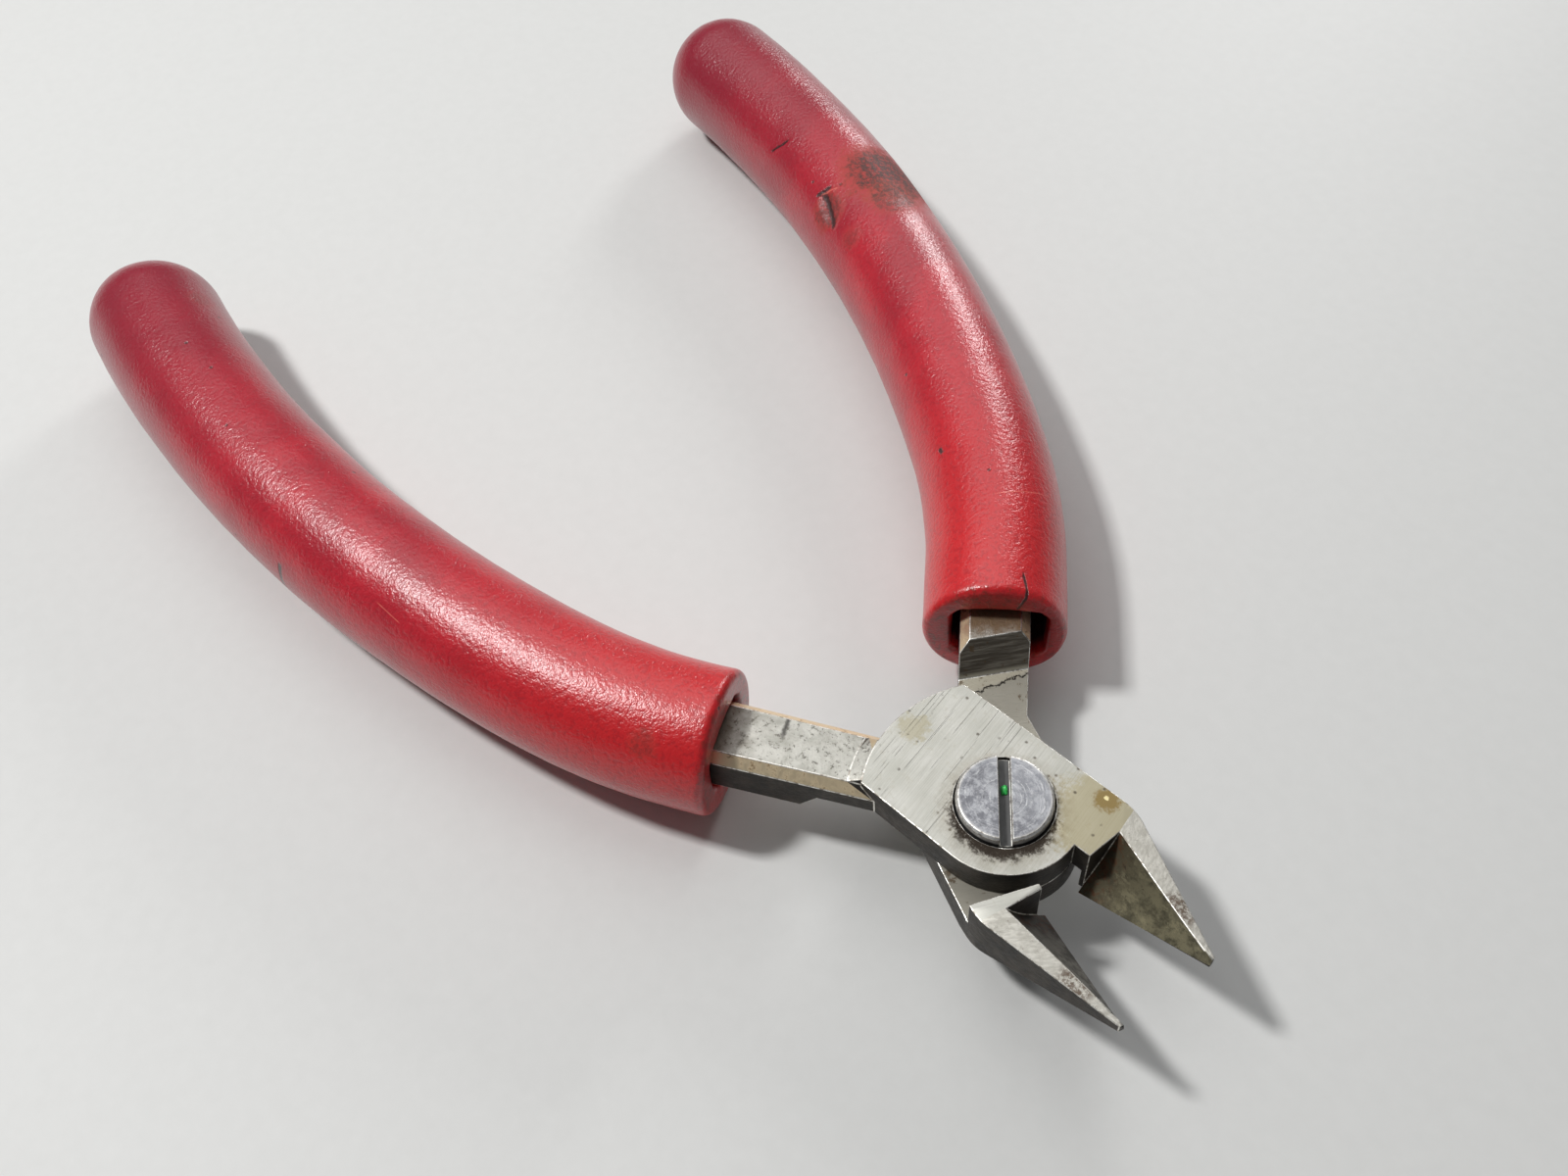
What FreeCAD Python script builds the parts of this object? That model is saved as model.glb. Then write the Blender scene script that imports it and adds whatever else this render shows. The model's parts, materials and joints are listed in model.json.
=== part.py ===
"""Small diagonal cutting pliers with a lap joint, a slotted pivot screw and dipped grips.

All sizes are in millimetres. The origin lies on the pivot axis at the underside of the joint:
+X runs from the pivot to the tips of the jaws, +Z runs up along the screw towards its head.
The pliers are drawn part way open. Each half is drawn closed, with its cutting edge along X,
and its Placement then swings it open about the pivot.
"""
import FreeCAD, Part
import math
import os

import Sketcher

DRIVING_SIZES = [
    # The joint
    ("joint_thickness", 5.2, "both laps together, over the ground faces"),
    ("lap_play", 0.04, "gap between the two lap faces"),
    ("boss_radius", 5.4, "half the width of the joint, and its round front"),
    ("rear_radius", 9.7, "round rear end of the ground faces, about the pivot"),
    ("step_run", 1.0, "length of the step from the ground face down to the tang"),
    ("step_angle", 22.5, "middle of that step, from the closed axis, in degrees"),
    ("step_spread", 20.0, "angle about the pivot that the step covers, in degrees"),
    ("recess_reach", 11.8, "pivot to the foot of the slope behind the lap recess"),
    ("recess_skew", 12.3, "angle of that slope to the closed axis, in degrees"),
    ("recess_slope", 2.3, "length of the slope, along the handle"),
    ("half_opening", 12.2, "swing of each half from closed to the drawn pose, in degrees"),
    # The jaws
    ("jaw_length", 16.4, "pivot to the tips"),
    ("jaw_taper", 27.4, "angle of the outer edge to the cutting edge, in degrees"),
    ("heel_radius", 4.0, "rounding where the side of the joint runs into the jaw"),
    ("tip_width", 0.42, "width of one jaw at its tip"),
    ("edge_gap", 0.03, "each cutting edge's distance from the axis when closed"),
    ("edge_land", 0.1, "flat left along the cutting edge"),
    ("root_reach", 6.6, "pivot to the wall behind the hollow between the jaws"),
    ("root_skew", 7.3, "lean of that wall, in degrees"),
    ("root_width", 3.35, "width of the hollow in one jaw at that wall"),
    ("facet_tip", 0.13, "width of the hollow in one jaw at the tip"),
    ("hollow_radius", 14.0, "grinding radius of the hollow at its wall"),
    ("lip_end", 0.6, "distance of the joint's front lip from the axis"),
    ("shoulder_reach", 6.25, "pivot to the shoulder that stands before the other half"),
    ("shoulder_skew", 5.0, "lean of the shoulder, in degrees"),
    ("back_start", 4.8, "pivot to where the flush back starts to rise"),
    ("back_rise", 19.4, "angle of the flush back, in degrees"),
    ("top_fall", 2.1, "angle of the top of the jaw, in degrees"),
    # The tangs under the grips
    ("tang_x", 8.0, "pivot to the root of the tang, along the axis"),
    ("tang_y", 3.2, "pivot to the root of the tang, across the axis"),
    ("tang_angle", 27.0, "angle at which the tang leaves the joint, in degrees"),
    ("tang_run", 13.0, "straight length of the tang"),
    ("tang_width", 5.0, "width of the tang at the joint"),
    ("tang_end_width", 7.0, "width of the tang at its end"),
    ("tang_height", 4.3, "thickness of the tang"),
    ("tang_chamfer", 0.7, "chamfer along the tang's edges"),
    ("neck_radius", 50.0, "radius of the first bend of the handle"),
    ("neck_sweep", 15.0, "turn of the first bend, in degrees"),
    ("handle_radius", 130.0, "radius of the long bow of the handle"),
    ("tang_sweep", 23.5, "turn of the bow where the tang ends, in degrees"),
    ("grip_sweep", 25.75, "turn of the bow at the middle of the grip's round end, in degrees"),
    # The grips
    ("grip_mouth_radius", 5.4, "outer radius of a grip at its mouth"),
    ("grip_end_radius", 6.0, "outer radius of a grip at its round end"),
    ("mouth_rounding", 0.7, "rounding of the grip's mouth"),
    ("upper_gap_width", 0.9, "how much wider than the tang's root the upper grip's mouth is"),
    ("upper_gap_height", 0.6, "how much higher than the tang that mouth is"),
    ("lower_gap_width", 2.0, "how much wider than the tang's root the lower grip's mouth is"),
    ("lower_gap_height", 1.1, "how much higher than the tang that mouth is"),
    ("end_gap", 0.2, "how much wider and higher than the tang either bore is at its end"),
    ("upper_mouth", 11.6, "root of the tang to the mouth of the upper half's grip"),
    ("lower_mouth", 7.0, "root of the tang to the mouth of the lower half's grip"),
    # The screw
    ("head_radius", 3.3, "screw head"),
    ("head_height", 1.5, "screw head"),
    ("head_proud", 0.7, "height of the head over the ground face"),
    ("head_chamfer", 0.15, "screw head's rim"),
    ("seat_clearance", 0.15, "round the head in its counterbore"),
    ("seat_play", 0.02, "under the head"),
    ("journal_radius", 2.0, "plain shank that the upper half turns on"),
    ("journal_clearance", 0.03, "round that shank"),
    ("thread_radius", 1.75, "threaded end in the lower half"),
    ("thread_clearance", 0.01, "round the threaded end"),
    ("tail_chamfer", 0.3, "screw's lower end, which is flush with the underside"),
    ("slot_width", 0.84, "screwdriver slot"),
    ("slot_depth", 0.8, "screwdriver slot"),
    ("slot_angle", 143.0, "direction of the slot from +X, in degrees"),
    ("paint_radius", 0.36, "dot of paint in the slot"),
    ("paint_height", 0.24, "dot of paint in the slot"),
    ("paint_offset", 0.94, "screw's middle to the dot, along the slot"),
]

UPPER = 1
LOWER = -1
ORIGIN_POINT = (-1, 1)


def make_sheet(doc):
    """Write the driving sizes into a spreadsheet, one row each."""
    sheet = doc.addObject("Spreadsheet::Sheet", "Sizes")
    for row, (alias, value, note) in enumerate(DRIVING_SIZES, start=1):
        sheet.set(f"A{row}", alias)
        sheet.set(f"B{row}", str(value))
        sheet.set(f"C{row}", note)
        sheet.setAlias(f"B{row}", alias)
    doc.recompute()
    return sheet


def plane_of(body, role):
    """One of the body's own origin planes."""
    return next(item for item in body.Origin.OriginFeatures if item.Role == role)


def new_sketch(body, name, role="XY_Plane", place=None, turn=None, turn_side=1):
    """A sketch on an origin plane. place and turn are expressions for its offset and its turn."""
    sketch = body.newObject("Sketcher::SketchObject", name)
    sketch.AttachmentSupport = [(plane_of(body, role), "")]
    sketch.MapMode = "FlatFace"
    if turn is not None:
        sketch.AttachmentOffset = FreeCAD.Placement(
            FreeCAD.Vector(), FreeCAD.Rotation(FreeCAD.Vector(0, turn_side, 0), 1))
        sketch.setExpression("AttachmentOffset.Rotation.Angle", turn)
    for axis, text in (place or {}).items():
        sketch.setExpression(f"AttachmentOffset.Base.{axis}", text)
    return sketch


def bind(sketch, text, *constraint):
    """Add a dimension to a sketch and bind it to an expression on the sheet."""
    index = sketch.addConstraint(Sketcher.Constraint(*constraint))
    sketch.setExpression(f"Constraints[{index}]", text)


def pin(sketch, geometry, point, x_text, y_text):
    """Bind both coordinates of a sketch point."""
    spot = sketch.getPoint(geometry, point)
    bind(sketch, x_text, "DistanceX", geometry, point, spot.x)
    bind(sketch, y_text, "DistanceY", geometry, point, spot.y)


def join(sketch, count):
    """Close a chain of lines whose end is the next one's start."""
    for index in range(count):
        sketch.addConstraint(
            Sketcher.Constraint("Coincident", index, 2, (index + 1) % count, 1))


def polygon(sketch, corners):
    """A closed polygon whose corners are pairs of expressions."""
    count = len(corners)
    ring = [FreeCAD.Vector(math.cos(2 * math.pi * i / count), math.sin(2 * math.pi * i / count), 0)
            for i in range(count)]
    for index in range(count):
        sketch.addGeometry(Part.LineSegment(ring[index], ring[(index + 1) % count]))
    join(sketch, count)
    for index, (x_text, y_text) in enumerate(corners):
        pin(sketch, index, 1, x_text, y_text)


def circle(sketch, radius, radius_text):
    """A circle about the sketch's origin, whose radius is an expression."""
    index = sketch.addGeometry(Part.Circle(FreeCAD.Vector(), FreeCAD.Vector(0, 0, 1), radius))
    bind(sketch, radius_text, "Radius", index, radius)
    pin(sketch, index, 3, "0", "0")


def pad(body, sketch, name, length_text):
    """Raise a sketch into a solid."""
    feature = body.newObject("PartDesign::Pad", name)
    feature.Profile = sketch
    feature.setExpression("Length", length_text)
    return feature


def pocket(body, sketch, name, length_text=None, reverse=False, middle=False):
    """Cut a sketch out of the body, to a depth or right through, and check that it cut."""
    body.Document.recompute()
    before = body.Shape.Volume
    feature = body.newObject("PartDesign::Pocket", name)
    feature.Profile = sketch
    feature.Reversed = reverse
    feature.Midplane = middle
    if length_text is None:
        feature.Type = "ThroughAll"
    else:
        feature.setExpression("Length", length_text)
    body.Document.recompute()
    if not feature.Shape.Volume < before:
        raise RuntimeError(f"{name} cuts nothing")
    return feature


def swing(body, side):
    """Swing a half, or what is fixed to it, open about the pivot."""
    body.Placement = FreeCAD.Placement(
        FreeCAD.Vector(), FreeCAD.Rotation(FreeCAD.Vector(0, 0, side), 1))
    body.setExpression("Placement.Rotation.Angle", "Sizes.half_opening")


def handle_path(body, sheet, name, side, start_text, sweep_text):
    """The middle line of a handle: a straight run, the neck's bend and the long bow.

    It starts at a distance from the root of the tang, and the bow ends after its sweep.
    """
    sketch = new_sketch(body, name, place={"z": "Sizes.joint_thickness / 2"})
    angle = math.radians(sheet.tang_angle)
    bend = math.radians(sheet.neck_sweep)
    start = FreeCAD.Vector(-sheet.tang_x, -side * sheet.tang_y, 0)
    along = FreeCAD.Vector(-math.cos(angle), -side * math.sin(angle), 0)
    corner = start + along * sheet.tang_run
    across = FreeCAD.Vector(-math.sin(angle), side * math.cos(angle), 0)
    neck_centre = corner + across * sheet.neck_radius
    across_bow = FreeCAD.Vector(-math.sin(angle - bend), side * math.cos(angle - bend), 0)
    bow_centre = neck_centre + across_bow * (sheet.handle_radius - sheet.neck_radius)
    up = FreeCAD.Vector(0, 0, 1)

    def arc(centre, radius, first, last):
        """An arc between two headings of the handle, measured from the closed axis."""
        ends = sorted(side * (math.radians(270) + heading) for heading in (first, last))
        return Part.ArcOfCircle(Part.Circle(centre, up, radius), *ends)

    near, far = (2, 1) if side == UPPER else (1, 2)
    line = sketch.addGeometry(Part.LineSegment(start, corner))
    neck = sketch.addGeometry(arc(neck_centre, sheet.neck_radius, angle, angle - bend))
    bow = sketch.addGeometry(
        arc(bow_centre, sheet.handle_radius, angle - bend, angle - bend - math.radians(20)))
    pin(sketch, line, 2,
        "-Sizes.tang_x - Sizes.tang_run * cos(Sizes.tang_angle)",
        f"{-side} * (Sizes.tang_y + Sizes.tang_run * sin(Sizes.tang_angle))")
    bind(sketch, f"Sizes.tang_run - ({start_text})", "Distance", line, sheet.tang_run)
    sketch.addConstraint(Sketcher.Constraint("Tangent", line, 2, neck, near))
    sketch.addConstraint(Sketcher.Constraint("Tangent", neck, far, bow, near))
    bind(sketch, f"180 + {side} * Sizes.tang_angle", "Angle", line, math.radians(180) + side * angle)
    bind(sketch, "Sizes.neck_radius", "Radius", neck, sheet.neck_radius)
    bind(sketch, "Sizes.handle_radius", "Radius", bow, sheet.handle_radius)
    bind(sketch, "Sizes.neck_sweep", "Angle", neck, bend)
    bind(sketch, sweep_text, "Angle", bow, math.radians(20))
    return sketch


def section_at(body, name, path, edge, parameter):
    """A sketch square to a handle's middle line, its x level and its y upright."""
    sketch = body.newObject("Sketcher::SketchObject", name)
    sketch.AttachmentSupport = [(path, edge)]
    sketch.MapMode = "NormalToEdge"
    sketch.MapPathParameter = parameter
    return sketch


def bar(sketch, width, height, chamfer):
    """The section of a flat bar with chamfered corners, from three expressions."""
    half_width, half_height = f"({width}) / 2", f"({height}) / 2"
    inner_width, inner_height = f"({half_width} - {chamfer})", f"({half_height} - {chamfer})"
    polygon(sketch, [
        (half_width, f"-{inner_height}"), (half_width, inner_height),
        (inner_width, half_height), (f"-{inner_width}", half_height),
        (f"-{half_width}", inner_height), (f"-{half_width}", f"-{inner_height}"),
        (f"-{inner_width}", f"-{half_height}"), (inner_width, f"-{half_height}")])


def pipe(body, kind, name, path, sections):
    """Sweep from the first section to the last along a handle's middle line."""
    feature = body.newObject(f"PartDesign::{kind}", name)
    feature.Profile = sections[0]
    feature.Spine = (path, ["Edge1", "Edge2", "Edge3"])
    feature.Transformation = "Multisection"
    feature.Sections = sections[1:]
    return feature


def far_parameter(side):
    """Where the far end of the bow is on its arc, which always runs anticlockwise."""
    return 0 if side == UPPER else 1


def add_tang(body, sheet, side):
    """The forged tang: a flat bar with chamfered edges, bent and slowly widening."""
    path = handle_path(body, sheet, "tang_path", side, "0", "Sizes.tang_sweep")
    root = section_at(body, "tang_root", path, "Edge1", 0)
    end = section_at(body, "tang_end", path, "Edge3", far_parameter(side))
    bar(root, "Sizes.tang_width", "Sizes.tang_height", "Sizes.tang_chamfer")
    bar(end, "Sizes.tang_end_width", "Sizes.tang_height", "Sizes.tang_chamfer")
    pipe(body, "AdditivePipe", "tang", path, [root, end])


def add_step(body, side):
    """The sloped steps from both ground faces down to the tang, round about the pivot."""
    sketch = new_sketch(body, "step_profile", "XZ_Plane", turn="Sizes.step_angle", turn_side=side)
    inner = "-(Sizes.rear_radius - Sizes.step_run)"
    foot = "-(Sizes.rear_radius + Sizes.step_run)"
    polygon(sketch, [
        (inner, "0"), (inner, "Sizes.joint_thickness"),
        ("-Sizes.rear_radius", "Sizes.joint_thickness"),
        (foot, "Sizes.joint_thickness / 2 + Sizes.tang_height / 2"),
        (foot, "Sizes.joint_thickness / 2 - Sizes.tang_height / 2"), ("-Sizes.rear_radius", "0")])
    step = body.newObject("PartDesign::Revolution", "step")
    step.Profile = sketch
    step.ReferenceAxis = (sketch, ["V_Axis"])
    step.Midplane = True
    step.setExpression("Angle", "Sizes.step_spread")


def add_head(body, sheet, side):
    """Jaw and joint in one outline, through the whole thickness."""
    sketch = new_sketch(body, "head_outline")
    up = FreeCAD.Vector(0, 0, 1)
    taper = math.radians(sheet.jaw_taper)
    boss, rear, heel = sheet.boss_radius, sheet.rear_radius, sheet.heel_radius
    heel_x = (sheet.jaw_length - (boss - heel - sheet.tip_width) / math.tan(taper)
              - heel / math.sin(taper))
    rear_x = -math.sqrt(rear ** 2 - boss ** 2)
    front_x = math.sqrt(boss ** 2 - sheet.lip_end ** 2)

    def spot(x, y):
        return FreeCAD.Vector(x, side * y, 0)

    def line(first, last):
        return sketch.addGeometry(Part.LineSegment(first, last))

    def arc(centre, radius, first, last):
        ends = (first, last) if side == UPPER else (-last, -first)
        return sketch.addGeometry(Part.ArcOfCircle(Part.Circle(centre, up, radius), *ends))

    heel_centre = spot(heel_x, boss - heel)
    heel_start = spot(heel_x + heel * math.sin(taper), boss - heel + heel * math.cos(taper))
    edge = line(spot(sheet.root_reach, sheet.edge_gap), spot(sheet.jaw_length, sheet.edge_gap))
    tip = line(spot(sheet.jaw_length, sheet.edge_gap), spot(sheet.jaw_length, sheet.tip_width))
    outside = line(spot(sheet.jaw_length, sheet.tip_width), heel_start)
    heel_arc = arc(heel_centre, heel, math.pi / 2 - taper, math.pi / 2)
    jaw_side = line(spot(heel_x, boss), spot(rear_x, boss))
    rear_arc = arc(FreeCAD.Vector(), rear, math.atan2(boss, rear_x),
                   2 * math.pi + math.atan2(-boss, rear_x))
    far_side = line(spot(rear_x, -boss), spot(0, -boss))
    front_arc = arc(FreeCAD.Vector(), boss, -math.pi / 2, math.asin(sheet.lip_end / boss))
    lip = line(spot(front_x, sheet.lip_end), spot(sheet.root_reach, sheet.lip_end))
    root = line(spot(sheet.root_reach, sheet.lip_end), spot(sheet.root_reach, sheet.edge_gap))

    near, far = (1, 2) if side == UPPER else (2, 1)
    for kind, first, first_end, last, last_end in [
            ("Coincident", edge, 2, tip, 1), ("Coincident", tip, 2, outside, 1),
            ("Tangent", outside, 2, heel_arc, near), ("Tangent", heel_arc, far, jaw_side, 1),
            ("Coincident", jaw_side, 2, rear_arc, near), ("Coincident", rear_arc, far, far_side, 1),
            ("Tangent", far_side, 2, front_arc, near), ("Coincident", front_arc, far, lip, 1),
            ("Coincident", lip, 2, root, 1), ("Coincident", root, 2, edge, 1),
            ("Coincident", rear_arc, 3, *ORIGIN_POINT), ("Coincident", front_arc, 3, *ORIGIN_POINT)]:
        sketch.addConstraint(Sketcher.Constraint(kind, first, first_end, last, last_end))
    sketch.addConstraint(Sketcher.Constraint("Horizontal", jaw_side))
    sketch.addConstraint(Sketcher.Constraint("Horizontal", far_side))
    pin(sketch, edge, 1, "Sizes.root_reach", f"{side} * Sizes.edge_gap")
    pin(sketch, tip, 1, "Sizes.jaw_length", f"{side} * Sizes.edge_gap")
    pin(sketch, tip, 2, "Sizes.jaw_length", f"{side} * Sizes.tip_width")
    pin(sketch, root, 1, "Sizes.root_reach", f"{side} * Sizes.lip_end")
    bind(sketch, f"{side} * Sizes.boss_radius", "DistanceY", jaw_side, 2, side * boss)
    bind(sketch, f"{-side} * Sizes.boss_radius", "DistanceY", far_side, 1, -side * boss)
    bind(sketch, f"{side} * Sizes.lip_end", "DistanceY", lip, 1, side * sheet.lip_end)
    bind(sketch, "Sizes.heel_radius", "Radius", heel_arc, heel)
    bind(sketch, "Sizes.rear_radius", "Radius", rear_arc, rear)
    bind(sketch, f"180 - {side} * Sizes.jaw_taper", "Angle", outside, math.pi - side * taper)
    pad(body, sketch, "head", "Sizes.joint_thickness")


def cut_lap(body, side):
    """Cut away the other half's share of the joint, and the slope behind it."""
    wide = "(Sizes.boss_radius + 6)"
    if side == UPPER:
        floor, outside = "Sizes.joint_thickness / 2 + Sizes.lap_play / 2", "0"
        beyond = "-1"
        start = "0"
    else:
        floor, outside = "Sizes.joint_thickness / 2 - Sizes.lap_play / 2", "Sizes.joint_thickness"
        beyond = "Sizes.joint_thickness + 1"
        start = floor
    recess = new_sketch(body, "recess_outline", place={"z": start})
    rear_x = "Sizes.recess_reach * cos(Sizes.recess_skew)"
    rear_y = "Sizes.recess_reach * sin(Sizes.recess_skew)"
    polygon(recess, [
        (f"Sizes.shoulder_reach - {wide} * tan(Sizes.shoulder_skew)", f"{side} * {wide}"),
        (f"-{rear_x} - {wide} * sin(Sizes.recess_skew)",
         f"{side} * (-{rear_y} + {wide} * cos(Sizes.recess_skew))"),
        (f"-{rear_x} + {wide} * sin(Sizes.recess_skew)",
         f"{side} * (-{rear_y} - {wide} * cos(Sizes.recess_skew))"),
        (f"Sizes.shoulder_reach + {wide} * tan(Sizes.shoulder_skew)", f"{-side} * {wide}")])
    pocket(body, recess, "recess", "Sizes.joint_thickness / 2 + Sizes.lap_play / 2", reverse=True)
    slope = new_sketch(body, "slope_profile", "XZ_Plane", turn="Sizes.recess_skew", turn_side=side)
    polygon(slope, [
        ("-Sizes.recess_reach", floor),
        ("-Sizes.recess_reach - Sizes.recess_slope", outside),
        ("-Sizes.recess_reach - Sizes.recess_slope", beyond),
        ("-Sizes.recess_reach + 1", beyond), ("-Sizes.recess_reach + 1", floor)])
    pocket(body, slope, "slope", middle=True)


def hollow_section(sketch, sheet, side, reach, width, low_text, width_text):
    """The hollow's section: an arc from the cutting edge to the facet, and room above it."""
    low = (reach - sheet.back_start) * math.tan(math.radians(sheet.back_rise)) + sheet.edge_land
    first = FreeCAD.Vector(0, low, 0)
    last = FreeCAD.Vector(side * width, sheet.joint_thickness, 0)
    chord = last - first
    lift = math.sqrt(sheet.hollow_radius ** 2 - chord.Length ** 2 / 4)
    centre = (first + last) / 2 + FreeCAD.Vector(-side * chord.y, side * chord.x, 0).normalize() * lift
    ends = [math.atan2(spot.y - centre.y, spot.x - centre.x) for spot in (first, last)]
    near, far = (1, 2) if side == UPPER else (2, 1)
    round_cut = Part.Circle(centre, FreeCAD.Vector(0, 0, 1), sheet.hollow_radius)
    sketch.addGeometry(Part.ArcOfCircle(round_cut, ends[near - 1], ends[far - 1]))
    above = sheet.joint_thickness + 1
    corners = [last, FreeCAD.Vector(side * width, above, 0),
               FreeCAD.Vector(-side, above, 0), FreeCAD.Vector(-side, low, 0), first]
    for start, end in zip(corners, corners[1:]):
        sketch.addGeometry(Part.LineSegment(start, end))
    sketch.addConstraint(Sketcher.Constraint("Coincident", 0, far, 1, 1))
    for index in (1, 2, 3):
        sketch.addConstraint(Sketcher.Constraint("Coincident", index, 2, index + 1, 1))
    sketch.addConstraint(Sketcher.Constraint("Coincident", 4, 2, 0, near))
    pin(sketch, 1, 1, f"{side} * {width_text}", "Sizes.joint_thickness")
    pin(sketch, 2, 1, f"{side} * {width_text}", "Sizes.joint_thickness + 1")
    pin(sketch, 3, 1, f"{-side}", "Sizes.joint_thickness + 1")
    pin(sketch, 4, 1, f"{-side}", low_text)
    bind(sketch, low_text, "DistanceY", 4, 2, low)
    bind(sketch, "0", "DistanceX", 4, 2, 0)
    bind(sketch, "Sizes.hollow_radius", "Radius", 0, sheet.hollow_radius)


def cut_hollow(body, sheet, side):
    """Grind the hollow over the cutting edge, from its wall at the root to the tip."""
    low = "- Sizes.back_start) * tan(Sizes.back_rise) + Sizes.edge_land"
    skew = math.radians(sheet.root_skew)
    wall = new_sketch(body, "hollow_at_root", "YZ_Plane", turn="Sizes.root_skew", turn_side=-side,
                      place={"z": "Sizes.root_reach - Sizes.lip_end * tan(Sizes.root_skew)"})
    hollow_section(wall, sheet, side, sheet.root_reach, sheet.root_width / math.cos(skew),
                   f"(Sizes.root_reach {low}", "Sizes.root_width / cos(Sizes.root_skew)")
    front = new_sketch(body, "hollow_at_tip", "YZ_Plane", place={"z": "Sizes.jaw_length + 0.1"})
    hollow_section(front, sheet, side, sheet.jaw_length, sheet.facet_tip,
                   f"(Sizes.jaw_length {low}", "Sizes.facet_tip")
    loft = body.newObject("PartDesign::SubtractiveLoft", "hollow")
    loft.Profile = wall
    loft.Sections = [front]
    loft.Ruled = True


def cut_jaw_faces(body):
    """The flush back that rises to the tip, and the slight fall of the jaw's top."""
    reach = "(Sizes.jaw_length + 1)"
    back = new_sketch(body, "back_profile", "XZ_Plane")
    polygon(back, [
        ("Sizes.back_start", "0"), ("Sizes.back_start", "-1"), (reach, "-1"),
        (reach, f"({reach} - Sizes.back_start) * tan(Sizes.back_rise)")])
    pocket(body, back, "back", middle=True)
    top = new_sketch(body, "top_profile", "XZ_Plane")
    start = "(Sizes.root_reach + 0.5)"
    above = "Sizes.joint_thickness + 1"
    polygon(top, [
        (start, "Sizes.joint_thickness"),
        (reach, f"Sizes.joint_thickness - ({reach} - {start}) * tan(Sizes.top_fall)"),
        (reach, above), (start, above)])
    pocket(body, top, "top", middle=True)


def bore(body, name, radius, radius_text, start_text, depth_text=None):
    """A round hole about the pivot, cut downwards from a height."""
    sketch = new_sketch(body, f"{name}_outline", place={"z": start_text})
    circle(sketch, radius, radius_text)
    pocket(body, sketch, name, depth_text)


def make_half(doc, sheet, label, side):
    """One half of the pliers: jaw, lap and tang, forged in one piece."""
    body = doc.addObject("PartDesign::Body", label)
    add_tang(body, sheet, side)
    doc.recompute()
    add_step(body, side)
    doc.recompute()
    add_head(body, sheet, side)
    doc.recompute()
    cut_lap(body, side)
    doc.recompute()
    cut_hollow(body, sheet, side)
    doc.recompute()
    cut_jaw_faces(body)
    top = "Sizes.joint_thickness"
    if side == UPPER:
        bore(body, "journal_bore", sheet.journal_radius,
             "Sizes.journal_radius + Sizes.journal_clearance", top)
        bore(body, "head_seat", sheet.head_radius, "Sizes.head_radius + Sizes.seat_clearance",
             top, "Sizes.head_height - Sizes.head_proud + Sizes.seat_play")
    else:
        bore(body, "thread_bore", sheet.thread_radius,
             "Sizes.thread_radius + Sizes.thread_clearance", top)
    swing(body, side)
    return body


def round_edge(body, feature, spot, radius_text):
    """Round the circular edge of a feature that lies nearest a point."""
    edges = feature.Shape.Edges
    rim = min(range(len(edges)), key=lambda i: (edges[i].CenterOfMass - spot).Length)
    rounding = body.newObject("PartDesign::Fillet", f"{feature.Name}_rounding")
    rounding.Base = (feature, [f"Edge{rim + 1}"])
    rounding.setExpression("Radius", radius_text)


def make_grip(doc, sheet, label, side, half):
    """A dipped plastic sleeve: a bowed tube with a round end and a bore for the tang."""
    body = doc.addObject("PartDesign::Body", label)
    mouth_text = f"Sizes.{half}_mouth"
    path = handle_path(body, sheet, "grip_path", side, mouth_text, "Sizes.grip_sweep")
    mouth = section_at(body, "grip_mouth", path, "Edge1", 0)
    circle(mouth, sheet.grip_mouth_radius, "Sizes.grip_mouth_radius")
    end = section_at(body, "grip_end", path, "Edge3", far_parameter(side))
    circle(end, sheet.grip_end_radius, "Sizes.grip_end_radius")
    pipe(body, "AdditivePipe", "sleeve", path, [mouth, end])
    doc.recompute()
    dome = body.newObject("PartDesign::AdditiveSphere", "round_end")
    dome.AttachmentSupport = [(end, "")]
    dome.MapMode = "ObjectXY"
    dome.setExpression("Radius", "Sizes.grip_end_radius")
    doc.recompute()
    round_edge(body, dome, path.Shape.Edges[0].firstVertex().Point, "Sizes.mouth_rounding")
    bore_path = handle_path(body, sheet, "bore_path", side, mouth_text, "Sizes.tang_sweep")
    bore_mouth = section_at(body, "bore_mouth", bore_path, "Edge1", 0)
    bar(bore_mouth, f"Sizes.tang_width + Sizes.{half}_gap_width",
        f"Sizes.tang_height + Sizes.{half}_gap_height", "Sizes.tang_chamfer")
    bore_end = section_at(body, "bore_end", bore_path, "Edge3", far_parameter(side))
    bar(bore_end, "Sizes.tang_end_width + Sizes.end_gap", "Sizes.tang_height + Sizes.end_gap",
        "Sizes.tang_chamfer")
    pipe(body, "SubtractivePipe", "bore", bore_path, [bore_mouth, bore_end])
    doc.recompute()
    swing(body, side)
    return body


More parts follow.
